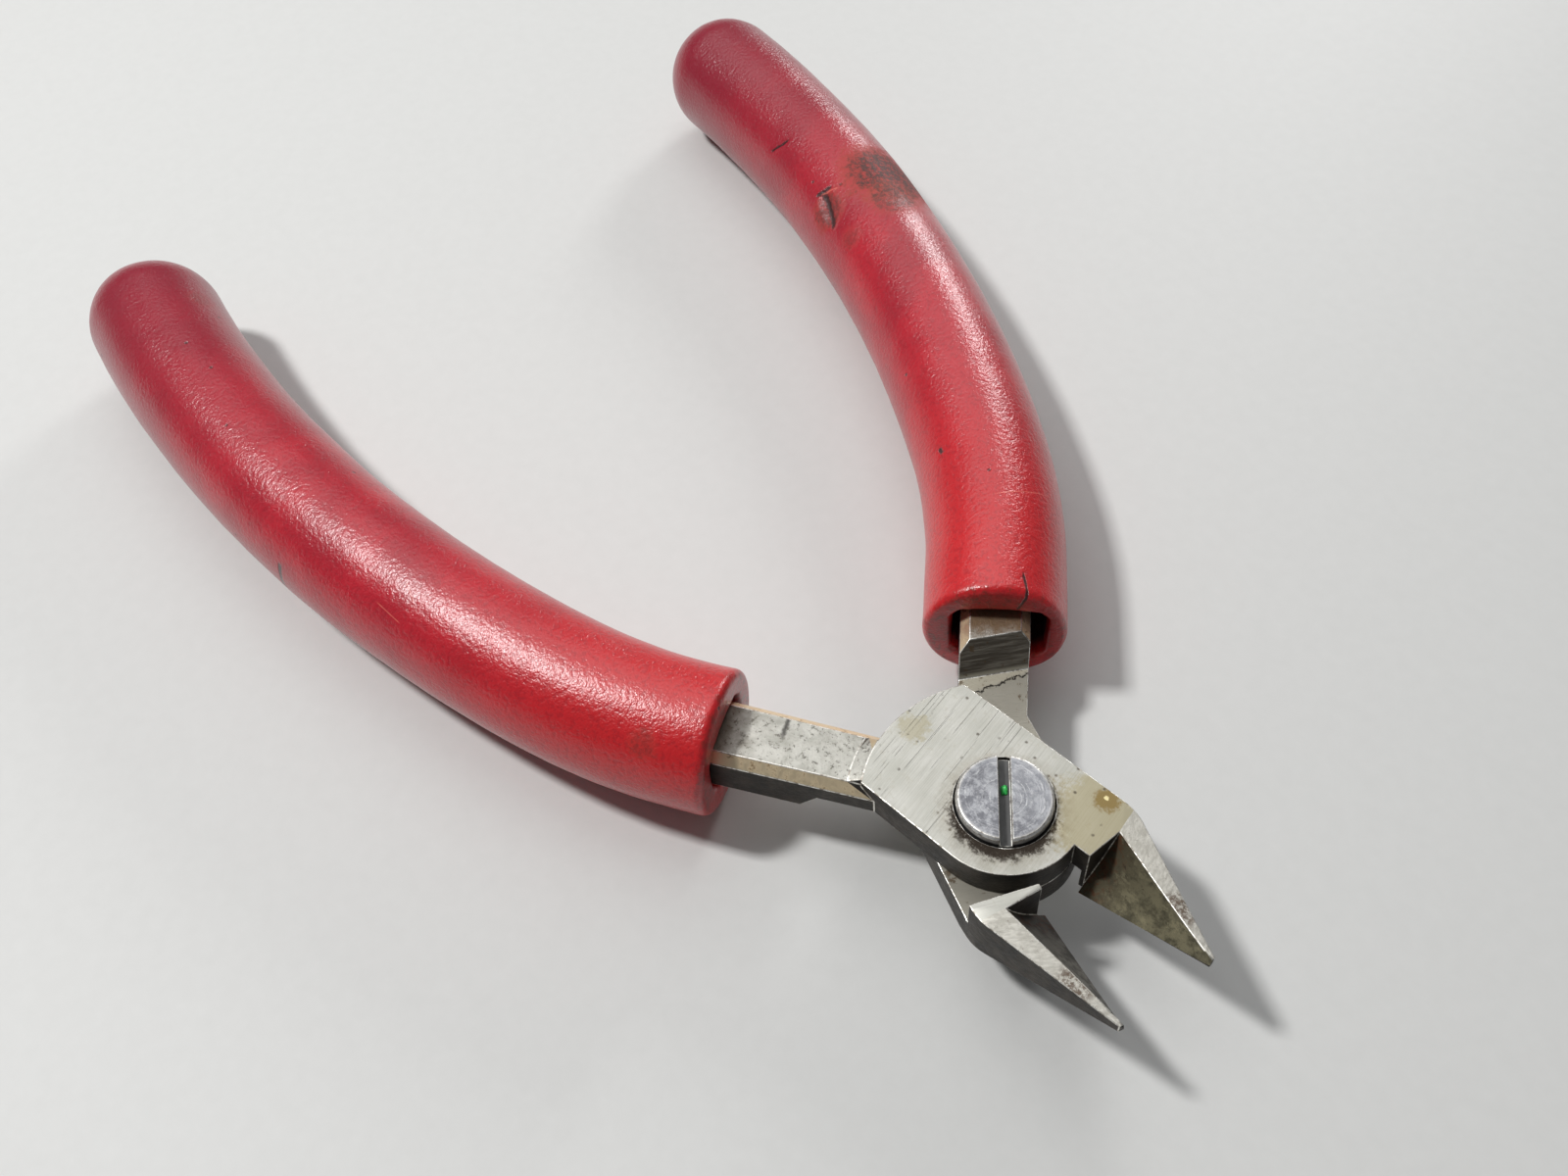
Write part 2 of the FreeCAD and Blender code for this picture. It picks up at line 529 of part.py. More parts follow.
def make_screw(doc, sheet):
    """The pivot screw: a slotted head, a plain journal and a threaded end."""
    body = doc.addObject("PartDesign::Body", "pivot_screw")
    profile = new_sketch(body, "screw_profile", "XZ_Plane")
    top = "(Sizes.joint_thickness + Sizes.head_proud)"
    seat = f"({top} - Sizes.head_height)"
    step = "(Sizes.joint_thickness / 2 - Sizes.lap_play / 2)"
    polygon(profile, [
        ("0", "0"), ("Sizes.thread_radius - Sizes.tail_chamfer", "0"),
        ("Sizes.thread_radius", "Sizes.tail_chamfer"), ("Sizes.thread_radius", step),
        ("Sizes.journal_radius", step), ("Sizes.journal_radius", seat),
        ("Sizes.head_radius", seat), ("Sizes.head_radius", f"{top} - Sizes.head_chamfer"),
        ("Sizes.head_radius - Sizes.head_chamfer", top), ("0", top)])
    turned = body.newObject("PartDesign::Revolution", "turned")
    turned.Profile = profile
    turned.ReferenceAxis = (profile, ["V_Axis"])
    slot = new_sketch(body, "slot_outline", place={"z": top})
    reach, half_width = "(Sizes.head_radius + 1)", "Sizes.slot_width / 2"
    polygon(slot, [(reach, f"-{half_width}"), (reach, half_width),
                   (f"-{reach}", half_width), (f"-{reach}", f"-{half_width}")])
    pocket(body, slot, "slot", "Sizes.slot_depth")
    body.Placement = FreeCAD.Placement(
        FreeCAD.Vector(), FreeCAD.Rotation(FreeCAD.Vector(0, 0, 1), 1))
    body.setExpression("Placement.Rotation.Angle", "Sizes.slot_angle")
    return body


def make_paint_dot(doc, sheet):
    """The dot of paint that marks the screw as set, a small dome on the floor of the slot."""
    body = doc.addObject("PartDesign::Body", "paint_dot")
    floor = "(Sizes.joint_thickness + Sizes.head_proud - Sizes.slot_depth)"
    outline = new_sketch(body, "dot_outline", place={"x": "Sizes.paint_offset", "z": floor})
    circle(outline, sheet.paint_radius, "Sizes.paint_radius")
    dot = pad(body, outline, "dot", "Sizes.paint_height")
    doc.recompute()
    round_edge(body, dot, FreeCAD.Vector(sheet.paint_offset, 0, 100), "Sizes.paint_height * 0.8")
    body.Placement = FreeCAD.Placement(
        FreeCAD.Vector(), FreeCAD.Rotation(FreeCAD.Vector(0, 0, 1), 1))
    body.setExpression("Placement.Rotation.Angle", "Sizes.slot_angle")
    return body


def check(doc, bodies):
    """Stop on a failed feature or a body that isn't one valid solid."""
    for item in doc.Objects:
        if {"Invalid", "Error"} & set(item.State):
            raise RuntimeError(f"{item.Name} failed: {item.State}")
    for body in bodies:
        shape = body.Shape
        if shape.isNull() or not shape.isValid() or len(shape.Solids) != 1:
            raise RuntimeError(f"{body.Label} is not one valid solid")


def main():
    doc = FreeCAD.newDocument("side_cutters")
    sheet = make_sheet(doc)
    bodies = [
        make_half(doc, sheet, "upper_half", UPPER),
        make_half(doc, sheet, "lower_half", LOWER),
        make_grip(doc, sheet, "upper_grip", UPPER, "upper"),
        make_grip(doc, sheet, "lower_grip", LOWER, "lower"),
        make_screw(doc, sheet),
        make_paint_dot(doc, sheet),
    ]
    doc.recompute()
    check(doc, bodies)
    os.makedirs("parts", exist_ok=True)
    for body in bodies:
        body.Shape.exportStep(f"parts/{body.Label}.step")


main()
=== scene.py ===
import json
import math

import bmesh
import bpy
from mathutils import Matrix, Vector, noise


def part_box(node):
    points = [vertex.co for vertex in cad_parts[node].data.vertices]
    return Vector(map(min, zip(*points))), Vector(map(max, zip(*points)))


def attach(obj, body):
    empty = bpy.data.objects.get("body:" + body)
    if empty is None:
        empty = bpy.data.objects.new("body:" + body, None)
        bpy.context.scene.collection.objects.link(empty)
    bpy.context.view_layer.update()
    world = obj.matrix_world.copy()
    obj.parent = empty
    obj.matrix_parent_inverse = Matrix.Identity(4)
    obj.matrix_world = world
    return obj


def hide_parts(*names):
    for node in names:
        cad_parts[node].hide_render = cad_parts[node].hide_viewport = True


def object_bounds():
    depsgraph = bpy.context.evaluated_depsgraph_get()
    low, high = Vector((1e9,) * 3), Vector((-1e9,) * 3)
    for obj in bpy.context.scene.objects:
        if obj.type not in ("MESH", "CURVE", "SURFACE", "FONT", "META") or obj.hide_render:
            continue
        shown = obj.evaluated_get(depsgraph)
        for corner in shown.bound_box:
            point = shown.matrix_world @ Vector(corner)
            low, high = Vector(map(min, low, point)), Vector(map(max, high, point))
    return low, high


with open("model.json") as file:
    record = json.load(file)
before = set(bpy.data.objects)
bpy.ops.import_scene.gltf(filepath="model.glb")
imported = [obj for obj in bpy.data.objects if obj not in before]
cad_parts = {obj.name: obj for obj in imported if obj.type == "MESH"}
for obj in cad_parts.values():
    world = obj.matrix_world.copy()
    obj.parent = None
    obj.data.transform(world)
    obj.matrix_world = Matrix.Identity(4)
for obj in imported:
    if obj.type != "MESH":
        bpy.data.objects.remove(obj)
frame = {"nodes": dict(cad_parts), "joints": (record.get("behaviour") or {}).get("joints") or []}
cad_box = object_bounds()

# The two halves ------------------------------------------------------------------------------
# Each half is one drop forging in carbon steel: jaw, half of the lap joint, and the tang that
# goes into its grip. The flat faces are ground across on a belt after the halves are joined,
# the jaws are hollow-ground to an edge, and the forged sides are dark, their colour darkened
# further as painted shade.
MM = 0.001
UPPER, LOWER = 1, -1
half_opening = math.radians(-frame["joints"][0]["range_deg"][0] / 2)
ground_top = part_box("upper_half")[1].z / MM
lap_height = ground_top / 2
jaw_root, tang_start, plate_end = 6.6, 8.6, 9.8
edge_wear, shortest_edge = 0.06 * MM, 0.16 * MM
cutting_edge_reach = 0.3


def node(tree, kind, sockets=None, **settings):
    """A shader node with its settings, and its sockets set to a number or linked to another's."""
    made = tree.nodes.new(f"ShaderNode{kind}")
    for name, value in settings.items():
        setattr(made, name, value)
    for name, value in (sockets or {}).items():
        if isinstance(value, bpy.types.NodeSocket):
            tree.links.new(value, made.inputs[name])
        else:
            made.inputs[name].default_value = value
    return made


def place_on(tree, side=0, stretch=(1, 1, 1), turn=0.0):
    """Object coordinates in millimetres, turned to a half's own closed axis, then stretched."""
    where = node(tree, "TexCoord").outputs["Object"]
    turned = node(tree, "Mapping", {
        "Vector": where, "Rotation": (0, 0, -side * (half_opening + math.radians(turn))),
        "Scale": (1 / MM,) * 3}).outputs[0]
    return node(tree, "Mapping", {"Vector": turned, "Scale": stretch}).outputs[0]


def grain(tree, place, scale, detail=4.0, roughness=0.6, distortion=0.0):
    """Noise from 0 to 1."""
    return node(tree, "TexNoise", {"Vector": place, "Scale": scale, "Detail": detail,
                                   "Roughness": roughness, "Distortion": distortion}).outputs[0]


def step(tree, value, low, high, first=0.0, last=1.0):
    """A soft step of a value, from first at low to last at high."""
    return node(tree, "MapRange", {"Value": value, "From Min": low, "From Max": high,
                                   "To Min": first, "To Max": last},
                interpolation_type="SMOOTHSTEP").outputs[0]


def sums(tree, operation, first, second):
    """One sum on two values."""
    return node(tree, "Math", {0: first, 1: second}, operation=operation).outputs[0]


def times(tree, *values):
    """The product of several values."""
    product = values[0]
    for value in values[1:]:
        product = sums(tree, "MULTIPLY", product, value)
    return product


def over(tree, amount, below, above):
    """One colour laid over another."""
    made = node(tree, "Mix", data_type="RGBA")
    for socket, value in ((0, amount), (6, below), (7, above)):
        if isinstance(value, bpy.types.NodeSocket):
            tree.links.new(value, made.inputs[socket])
        else:
            made.inputs[socket].default_value = value if socket == 0 else (*value, 1)
    return made.outputs[2]


def near(tree, place, spot, reach, fray=0.0, ragged=None):
    """1 within reach of a spot, falling to 0, with a ragged edge from a noise."""
    away = distance(tree, place, spot)
    if ragged is not None:
        away = sums(tree, "ADD", away, times(tree, sums(tree, "SUBTRACT", ragged, 0.5), fray))
    return step(tree, away, reach * 0.6, reach, 1.0, 0.0)


def finish_material(tree, colour, roughness, metallic, height, depth, **uniform):
    """The surface itself: colour, roughness, how much is bare metal, and a height in mm."""
    bump = node(tree, "Bump", {"Height": height, "Distance": depth * MM, "Strength": 1.0})
    surface = node(tree, "BsdfPrincipled", {
        "Base Color": colour, "Roughness": roughness, "Metallic": metallic,
        "Normal": bump.outputs[0], "Coat Normal": bump.outputs[0], **uniform})
    node(tree, "OutputMaterial", {"Surface": surface.outputs[0]})


def size_of(tree, value):
    """A value without its sign."""
    return node(tree, "Math", {0: value}, operation="ABSOLUTE").outputs[0]


def distance(tree, place, spot):
    """How far a place is from a spot."""
    return node(tree, "VectorMath", {0: place, 1: spot}, operation="DISTANCE").outputs["Value"]


def in_direction(tree, place, axis):
    """How far a place is along an axis."""
    return node(tree, "VectorMath", {0: place, 1: axis},
                operation="DOT_PRODUCT").outputs["Value"]


def new_material(name):
    """An empty node material."""
    material = bpy.data.materials.new(name)
    material.use_nodes = True
    material.node_tree.nodes.clear()
    return material, material.node_tree


def split(tree, place):
    """The three coordinates of a place."""
    return node(tree, "SeparateXYZ", {0: place}).outputs


def ground_steel(name, side):
    """Belt-ground steel: fine lines across, a few deep scratches, pits, and old stains."""
    material, tree = new_material(name)
    here = place_on(tree, side)
    x = split(tree, here)["X"]
    lines = grain(tree, place_on(tree, side, (17, 0.35, 1), 6.0), 1.0, 3, 0.55)
    bands = grain(tree, place_on(tree, side, (1.6, 0.1, 1), 6.0), 1.0, 3, 0.6)
    deep = grain(tree, place_on(tree, side, (3.3, 0.03, 0.05), 6.0), 1.0, 3, 0.85)
    scored = times(tree, step(tree, deep, 0.6, 0.65), step(tree, x, -1.2, -3.2),
                   step(tree, grain(tree, here, 0.5, 2), 0.32, 0.52))
    cross = grain(tree, place_on(tree, side, (0.12, 4.0, 1), -38.0), 1.0, 3, 0.7)
    scuffed = times(tree, step(tree, cross, 0.66, 0.72),
                    step(tree, grain(tree, here, 0.7, 2), 0.52, 0.6))
    cloud = grain(tree, here, 0.35, 5, 0.65)
    pits = node(tree, "TexVoronoi", {"Vector": here, "Scale": 1.3, "Randomness": 1.0}).outputs[0]
    pitted = times(tree, step(tree, pits, 0.22, 0.06),
                   step(tree, grain(tree, here, 0.9, 3), 0.47, 0.6))
    ragged = grain(tree, here, 2.2, 5, 0.72)
    front = near(tree, here, (5.6, 3.4, ground_top), 4.4, 5.0, ragged)
    blot = times(tree, near(tree, here, (4.9, 4.7, ground_top), 1.1, 1.8, ragged), 0.9)
    nick = near(tree, here, (4.85, 4.75, ground_top), 0.2, 0.55, ragged)
    rear = near(tree, here, (-8.3, 0.3, ground_top), 1.3, 2.6, ragged)
    dull = times(tree, step(tree, grain(tree, here, 1.4, 5, 0.75), 0.54, 0.68), 0.5)
    colour = over(tree, step(tree, cloud, 0.3, 0.75), (0.5, 0.495, 0.445), (0.6, 0.59, 0.545))
    colour = over(tree, times(tree, step(tree, bands, 0.4, 0.65), 0.22), colour, (0.4, 0.395, 0.34))
    colour = over(tree, times(tree, step(tree, lines, 0.42, 0.72), 0.34), colour,
                  (0.33, 0.325, 0.28))
    colour = over(tree, dull, colour, (0.42, 0.4, 0.33))
    colour = over(tree, times(tree, front, 0.62), colour, (0.37, 0.31, 0.15))
    colour = over(tree, times(tree, rear, 0.5), colour, (0.36, 0.31, 0.17))
    colour = over(tree, blot, colour, (0.25, 0.17, 0.05))
    colour = over(tree, times(tree, scuffed, 0.5), colour, (0.8, 0.79, 0.74))
    colour = over(tree, times(tree, scored, 0.58), colour, (0.14, 0.13, 0.11))
    colour = over(tree, times(tree, pitted, 0.8), colour, (0.08, 0.065, 0.045))
    colour = over(tree, nick, colour, (0.85, 0.74, 0.4))
    height = sums(tree, "SUBTRACT", times(tree, lines, 0.3), sums(tree, "ADD", scored, pitted))
    roughness = step(tree, lines, 0.2, 0.8, 0.38, 0.54)
    if side == UPPER:
        # Round the screw head a dark ring, wider to one side, with a brown stain beyond it: dirt in
        # the gap under the head, and painted shadow of the raised head.
        away = distance(tree, here, (0.4, -0.55, ground_top))
        away = sums(tree, "ADD", away, times(tree, ragged, 2.4))
        grime_and_shade = times(tree, step(tree, away, 5.15, 4.5), step(tree, ragged, 0.2, 0.45))
        haze = step(tree, away, 6.2, 4.8)
        colour = over(tree, times(tree, haze, 0.3), colour, (0.2, 0.15, 0.08))
        # Dirt and painted shadow round the screw head.
        colour = over(tree, times(tree, grime_and_shade, 0.95), colour, (0.03, 0.018, 0.01))
        roughness = sums(tree, "ADD", roughness, times(tree, grime_and_shade, 0.35))
    finish_material(tree, colour, roughness, 0.6, height, 0.012)
    return material


def facet_steel(name, side):
    """The narrow top of a jaw: bright and speckled, with a brown stain half-way."""
    material, tree = new_material(name)
    here = place_on(tree, side)
    fine = grain(tree, place_on(tree, side, (5, 1.6, 3), 20.0), 1.0, 5, 0.7)
    speckle = grain(tree, here, 2.4, 6, 0.75)
    stained = times(tree, near(tree, here, (12.9, side * 1.3, ground_top), 1.7, 1.6, speckle),
                    step(tree, speckle, 0.42, 0.56))
    colour = over(tree, step(tree, fine, 0.35, 0.7), (0.46, 0.44, 0.385), (0.66, 0.64, 0.58))
    colour = over(tree, times(tree, step(tree, speckle, 0.58, 0.7), 0.7), colour,
                  (0.17, 0.145, 0.11))
    colour = over(tree, times(tree, stained, 0.85), colour, (0.1, 0.06, 0.035))
    finish_material(tree, colour, step(tree, fine, 0.3, 0.7, 0.36, 0.55), 0.6, speckle, 0.03)
    return material


def hollow_steel(name, side):
    """The hollow over the cutting edge: mottled olive-brown, darkest at the root."""
    material, tree = new_material(name)
    here = place_on(tree, side)
    x = split(tree, here)["X"]
    mottle = grain(tree, here, 0.8, 7, 0.74)
    spots = grain(tree, here, 2.4, 3, 0.6)
    root = step(tree, sums(tree, "ADD", x, times(tree, mottle, 6.0)), 14.2, 9.4)
    pale, dark = ((0.25, 0.225, 0.14), (0.055, 0.04, 0.024)) if side == UPPER else (
        (0.16, 0.15, 0.13), (0.05, 0.042, 0.035))
    blots = grain(tree, place_on(tree, side, (1, 1, 1.4)), 0.5, 6, 0.78)
    colour = over(tree, step(tree, mottle, 0.4, 0.62), pale, tuple(0.36 * part for part in pale))
    colour = over(tree, times(tree, step(tree, blots, 0.54, 0.62), 0.6), colour,
                  tuple(1.5 * part for part in pale))
    colour = over(tree, times(tree, root, 0.75), colour, dark)
    rust = times(tree, step(tree, x, 9.0, 7.2), step(tree, spots, 0.45, 0.62))
    colour = over(tree, times(tree, rust, 0.7), colour, (0.14, 0.05, 0.02))
    colour = over(tree, times(tree, step(tree, spots, 0.64, 0.72), 0.6), colour,
                  (0.03, 0.025, 0.02))
    finish_material(tree, colour, step(tree, mottle, 0.3, 0.7, 0.42, 0.62), 0.55, spots, 0.015)
    return material


def tang_steel(name, side):
    """The flat of the tang: pale, pitted, a scratch across it, and rust where the grip starts."""
    material, tree = new_material(name)
    here = place_on(tree, side)
    away = (-math.cos(math.radians(27)), -side * math.sin(math.radians(27)), 0)
    along = in_direction(tree, here, away)
    pits = grain(tree, here, 2.3, 6, 0.8)
    cloud = grain(tree, here, 0.8, 3, 0.6)
    first, last = (18.6, 21.4) if side == UPPER else (14.6, 15.9)
    rusty = step(tree, sums(tree, "ADD", along, times(tree, cloud, 2.0)), first, last)
    colour = over(tree, step(tree, cloud, 0.35, 0.7), (0.56, 0.55, 0.5), (0.4, 0.39, 0.345))
    colour = over(tree, times(tree, step(tree, pits, 0.54, 0.62), 0.8), colour, (0.1, 0.09, 0.07))
    colour = over(tree, times(tree, rusty, 0.85), colour,
                  (0.1, 0.075, 0.05) if side == UPPER else (0.2, 0.11, 0.04))
    if side == UPPER:
        cut = size_of(tree, sums(tree, "SUBTRACT", along, 16.0))
        cut = times(tree, step(tree, sums(tree, "ADD", cut, times(tree, pits, 0.5)), 0.5, 0.3),
                    step(tree, split(tree, here)["Y"], -6.6, -5.9))
        colour = over(tree, times(tree, cut, 0.85), colour, (0.05, 0.045, 0.04))
    finish_material(tree, colour, step(tree, pits, 0.3, 0.7, 0.36, 0.58), 0.6, pits, 0.05)
    return material


def slope_steel(name, side):
    """The slope and floor behind the lap: coarse marks across the tang, dirt and a few cracks."""
    material, tree = new_material(name)
    here = place_on(tree, side)
    lines = grain(tree, place_on(tree, side, (7, 0.3, 4), 13.0), 1.0, 3, 0.75)
    blot = grain(tree, here, 1.3, 5, 0.7)
    x, y, z = split(tree, here)
    floor = step(tree, z, lap_height + 0.35, lap_height + 0.02)
    colour = over(tree, step(tree, lines, 0.4, 0.65), (0.085, 0.072, 0.055), (0.21, 0.19, 0.155))
    colour = over(tree, floor, colour, (0.42, 0.39, 0.31))
    worn_back = times(tree, floor, step(tree, x, -10.4, -9.9))
    colour = over(tree, times(tree, worn_back, 0.6), colour, (0.26, 0.25, 0.22))
    crack = size_of(tree, sums(tree, "ADD", sums(tree, "ADD", x, 10.1),
                               times(tree, sums(tree, "SUBTRACT", blot, 0.5), 1.6)))
    cracked = times(tree, floor, step(tree, crack, 0.1, 0.03))
    colour = over(tree, times(tree, step(tree, blot, 0.58, 0.66), 0.8), colour, (0.1, 0.06, 0.028))
    colour = over(tree, cracked, colour, (0.03, 0.025, 0.02))
    finish_material(tree, colour, 0.5, 0.6, sums(tree, "SUBTRACT", lines, cracked), 0.04)
    return material


def forged_side_and_shade(name, side):
    """Forged and filed sides, dark with old oil and brown in places, and painted darker still as
    shade.
    """
    material, tree = new_material(name)
    here = place_on(tree, side)
    cloud = grain(tree, here, 0.7, 5, 0.65)
    fine = grain(tree, place_on(tree, side, (1.2, 1.2, 5)), 1.6, 4, 0.7)
    # Painted shade: the sides are coloured near black so that they stay dark above the pale table.
    colour = over(tree, step(tree, cloud, 0.3, 0.7), (0.022, 0.02, 0.018), (0.06, 0.05, 0.04))
    colour = over(tree, times(tree, step(tree, fine, 0.55, 0.75), 0.4), colour, (0.13, 0.115, 0.095))
    finish_material(tree, colour, step(tree, fine, 0.3, 0.7, 0.4, 0.62), 0.5, fine, 0.02)
    return material


def worn_edge(name, side):
    """Edges rubbed bright by handling."""
    material, tree = new_material(name)
    here = place_on(tree, side)
    wear = grain(tree, here, 2.0, 5, 0.7)
    colour = over(tree, step(tree, wear, 0.38, 0.56), (0.3, 0.27, 0.23), (0.86, 0.84, 0.78))
    finish_material(tree, colour, step(tree, wear, 0.35, 0.65, 0.5, 0.25), 0.85, wear, 0.008)
    return material


def rubbed_chamfer(name, side):
    """The tang's chamfers, worn to a warm shine with dark pores."""
    material, tree = new_material(name)
    here = place_on(tree, side)
    wear = grain(tree, here, 1.6, 5, 0.75)
    colour = over(tree, step(tree, wear, 0.54, 0.7), (0.95, 0.78, 0.52), (0.34, 0.22, 0.11))
    finish_material(tree, colour, step(tree, wear, 0.35, 0.65, 0.3, 0.5), 0.8, wear, 0.03)
    return material


def softened(name, cad_name, wear, shortest, fine_edges=None):
    """A copy of a CAD node with its flats joined and its sharp edges worn by a hair.

    Edges shorter than the shortest are closed up first, so that the worn bands never cross.
    """
    mesh = frame["nodes"][cad_name].data.copy()
    mesh.materials.clear()
    work = bmesh.new()
    work.from_mesh(mesh)
    bmesh.ops.remove_doubles(work, verts=work.verts, dist=0.0005 * MM)
    bmesh.ops.dissolve_limit(work, angle_limit=math.radians(0.6), verts=work.verts,
                             edges=work.edges)
    bmesh.ops.remove_doubles(work, verts=work.verts, dist=shortest)
    bmesh.ops.dissolve_degenerate(work, edges=work.edges, dist=shortest)
    sharp = [edge for edge in work.edges
             if edge.is_manifold and edge.calc_face_angle() > math.radians(24)
             and not (fine_edges and fine_edges(edge))]
    bmesh.ops.bevel(work, geom=sharp, offset=wear, offset_type="OFFSET", segments=2,
                    profile=0.5, affect="EDGES", material=1, clamp_overlap=False)
    bmesh.ops.triangulate(work, faces=[face for face in work.faces if len(face.verts) > 4])
    work.to_mesh(mesh)
    work.free()
    piece = bpy.data.objects.new(name, mesh)
    bpy.context.scene.collection.objects.link(piece)
    mesh.polygons.foreach_set("use_smooth", [True] * len(mesh.polygons))
    mesh.set_sharp_from_angle(angle=math.radians(30))
    piece.modifiers.new("flats", "WEIGHTED_NORMAL").keep_sharp = True
    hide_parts(cad_name)
    return piece


def made_half(name, cad_name, side):
    """A worn copy of one half, each region with the finish that its making leaves."""
    back = Matrix.Rotation(-side * half_opening, 3, "Z")

    def fine(edge):
        """The cutting edge and the tip stay sharp."""
        spots = [back @ vert.co / MM for vert in edge.verts]
        return any(spot.x > jaw_root and abs(spot.y) < cutting_edge_reach for spot in spots)

    piece = softened(name, cad_name, edge_wear, shortest_edge, fine)
    finishes = [forged_side_and_shade, worn_edge, ground_steel, facet_steel, hollow_steel, tang_steel,
                slope_steel, rubbed_chamfer]
    for finish in finishes:
        piece.data.materials.append(finish(f"{name}_{finish.__name__}", side))
    for face in piece.data.polygons:
        if face.material_index:
            continue
        spot = back @ face.center / MM
        out = back @ face.normal
        flat = abs(out.z) > 0.97
        sloped = 0.5 < abs(out.z) < 0.9
        if spot.x > jaw_root and out.y * side < -0.15 and out.z > 0.05:
            finish = hollow_steel
        elif spot.x > jaw_root + 0.3 and flat:
            finish = facet_steel if out.z > 0 else ground_steel
        elif flat and spot.x > -plate_end and (spot.z > ground_top - 0.1 or spot.z < 0.1):
            finish = ground_steel
        elif flat and abs(spot.z - lap_height) < 0.1:
            finish = slope_steel
        elif spot.x < -tang_start and sloped and abs(out.x) > 0.5:
            finish = slope_steel
        elif spot.x < -tang_start and sloped:
            finish = rubbed_chamfer
        elif spot.x < -tang_start and abs(out.z) > 0.5:
            finish = tang_steel
        else:
            finish = forged_side_and_shade
        face.material_index = finishes.index(finish)
    return piece


lower_half = made_half("lower_half_forging", "lower_half", LOWER)
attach(lower_half, "lower_side")

upper_half = made_half("upper_half_forging", "upper_half", UPPER)
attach(upper_half, "upper_side")

# The pivot screw -----------------------------------------------------------------------------
# A turned screw with a slotted cheese head, hardened blue-grey. The lathe leaves rings on its
# face, and the slot is milled after turning.


def turned_steel(name):
    """Blue-grey turned face: rings about the axis, darker mottling, bright rubs."""
    material, tree = new_material(name)
    here = place_on(tree)
    x, y, z = split(tree, here)
    radius = node(tree, "VectorMath", {0: node(tree, "CombineXYZ", {"X": x, "Y": y}).outputs[0]},
                  operation="LENGTH").outputs["Value"]
    wobble = grain(tree, here, 0.8, 4, 0.6)
    wavering = sums(tree, "ADD", radius, times(tree, wobble, 0.5))
    ringed = node(tree, "CombineXYZ", {"X": wavering}).outputs[0]
    rings = grain(tree, ringed, 6.5, 4, 0.7)
    mottle = grain(tree, here, 1.0, 7, 0.76)
    broken = step(tree, grain(tree, here, 1.7, 4, 0.7), 0.42, 0.58)
    darker = step(tree, sums(tree, "ADD", y, times(tree, mottle, 4.0)), 3.0, 0.6)
    colour = over(tree, step(tree, mottle, 0.4, 0.6), (0.27, 0.275, 0.295), (0.43, 0.435, 0.455))
    colour = over(tree, times(tree, step(tree, rings, 0.53, 0.6), broken, 0.75), colour,
                  (0.7, 0.7, 0.7))
    colour = over(tree, times(tree, step(tree, rings, 0.47, 0.4), broken, 0.4), colour,
                  (0.12, 0.12, 0.14))
    colour = over(tree, times(tree, darker, step(tree, mottle, 0.6, 0.42), 0.5), colour,
                  (0.1, 0.1, 0.115))
    colour = over(tree, times(tree, step(tree, radius, 2.9, 3.2), 0.75), colour,
                  (0.74, 0.73, 0.71))
    slot_floor = step(tree, z, ground_top + 0.2, ground_top)
    colour = over(tree, slot_floor, colour, (0.1, 0.1, 0.098))
    height = times(tree, sums(tree, "ADD", rings, times(tree, mottle, 0.4)),
                   sums(tree, "SUBTRACT", 1.0, slot_floor))
    roughness = sums(tree, "ADD", step(tree, mottle, 0.3, 0.7, 0.3, 0.46),
                     times(tree, slot_floor, 0.2))
    finish_material(tree, colour, roughness, 0.75, height, 0.03)
    return material


screw = softened("pivot_screw_turned", "pivot_screw", 0.05 * MM, 0.001 * MM)
screw.data.materials.append(turned_steel("screw_turned_steel"))
screw.data.materials.append(worn_edge("screw_worn_edge", 0))
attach(screw, "lower_side")

# The paint dot -------------------------------------------------------------------------------
# A dab of green enamel in the slot, put on when the screw's tightness is set. It dries as a
# small glossy dome with an uneven outline.
dot_low, dot_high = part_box("paint_dot")
dot_middle = (dot_low + dot_high) / 2
dot_height = dot_high.z - dot_low.z
dab_radius = 0.4 * MM
dab = bmesh.new()
bmesh.ops.create_uvsphere(dab, u_segments=32, v_segments=16, radius=dab_radius)
bmesh.ops.bisect_plane(dab, geom=dab.verts[:] + dab.edges[:] + dab.faces[:], dist=0.001 * MM,
                       plane_co=(0, 0, 0.1 * dab_radius), plane_no=(0, 0, 1), clear_inner=True)
bmesh.ops.translate(dab, verts=dab.verts, vec=(0, 0, -0.1 * dab_radius))
bmesh.ops.holes_fill(dab, edges=[edge for edge in dab.edges if edge.is_boundary])
for vert in dab.verts:
    level = Vector((vert.co.x, vert.co.y, 0)).normalized()
    ragged = 1 + 0.4 * noise.noise(level * 1.4 + Vector((3.1, 0.4, 0)))
    vert.co.x *= 0.75 * ragged
    vert.co.y *= ragged
    vert.co.z *= dot_height / (0.9 * dab_radius)
bmesh.ops.rotate(dab, verts=dab.verts, cent=(0, 0, 0),
                 matrix=Matrix.Rotation(math.radians(53), 3, "Z"))
bmesh.ops.translate(dab, verts=dab.verts,
                    vec=(dot_middle.x, dot_middle.y, dot_low.z + 0.002 * MM))
dab_mesh = bpy.data.meshes.new("paint_dab")
bmesh.ops.recalc_face_normals(dab, faces=dab.faces)
dab.to_mesh(dab_mesh)
dab.free()
dab_mesh.polygons.foreach_set("use_smooth", [True] * len(dab_mesh.polygons))
paint = bpy.data.objects.new("paint_dab", dab_mesh)
bpy.context.scene.collection.objects.link(paint)
enamel, tree = new_material("green_enamel")
thick = grain(tree, place_on(tree), 4.0, 3)
green = over(tree, step(tree, thick, 0.35, 0.65), (0.02, 0.36, 0.06), (0.05, 0.62, 0.12))
finish_material(tree, green, 0.3, 0.0, thick, 0.05, **{"Coat Weight": 0.4})
paint.data.materials.append(enamel)
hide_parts("paint_dot")
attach(paint, "lower_side")

